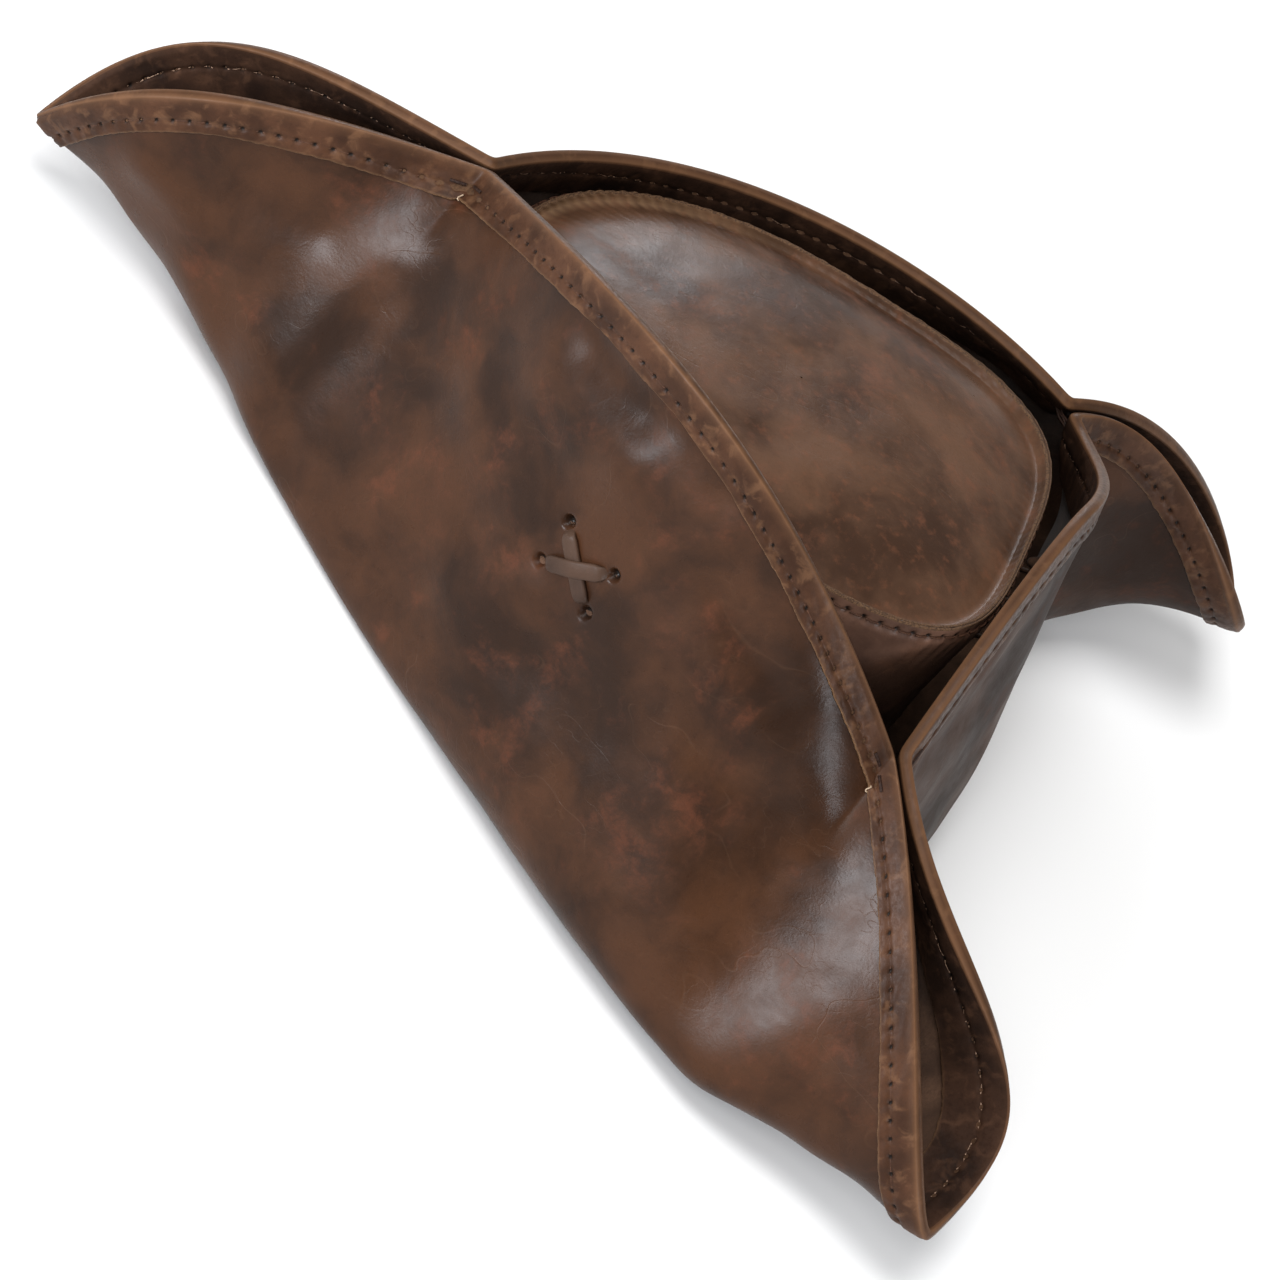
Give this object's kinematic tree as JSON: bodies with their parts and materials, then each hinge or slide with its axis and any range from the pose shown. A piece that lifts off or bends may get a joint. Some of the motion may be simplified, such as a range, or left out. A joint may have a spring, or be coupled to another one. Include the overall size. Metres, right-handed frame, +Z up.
{
  "type": "tricorn pirate hat",
  "caption": "Brown leather tricorn hat: domed crown, wide brim laced and tacked up on three sides, stitched edge binding and an inner sweatband.",
  "frame": {"origin": "centre of the head opening, on the plane through the foot of the crown that the hat rests on", "axes": "+Z up out of the crown, -Y towards the front corner, +X to the wearer's left"},
  "size_m": [0.3468, 0.4194, 0.1701],
  "materials": {
    "brim_leather": "dark brown pull-up leather, semi-gloss grain outside, suede inside",
    "crown_leather": "dark brown pull-up leather, semi-gloss",
    "binding_leather": "mid brown edge binding, satin, paler on its fold",
    "sweatband_leather": "smooth matte lining leather",
    "thong_leather": "dark brown lacing thong",
    "thread": "waxed dark brown sewing thread",
    "pale_thread": "undyed sewing thread, seen inside and at the tacks"
  },
  "bodies": {
    "root": {"binding_thread_inside": "pale_thread", "binding_thread_outside": "thread", "brim": "brim_leather", "brim_binding": "binding_leather", "brim_seam_thread": "thread", "corner_tack_front": "pale_thread", "corner_tack_rear_left": "pale_thread", "corner_tack_rear_right": "pale_thread", "crown_back_seam_thread": "thread", "crown_tip": "crown_leather", "crown_wall": "crown_leather", "lace_back": "thong_leather", "lace_knot_back": "thong_leather", "lace_knot_left": "thong_leather", "lace_knot_right": "thong_leather", "lace_left": "thong_leather", "lace_right": "thong_leather", "sweatband": "sweatband_leather", "sweatband_thread": "pale_thread", "tip_seam_thread": "thread"}
  },
  "joints": []
}
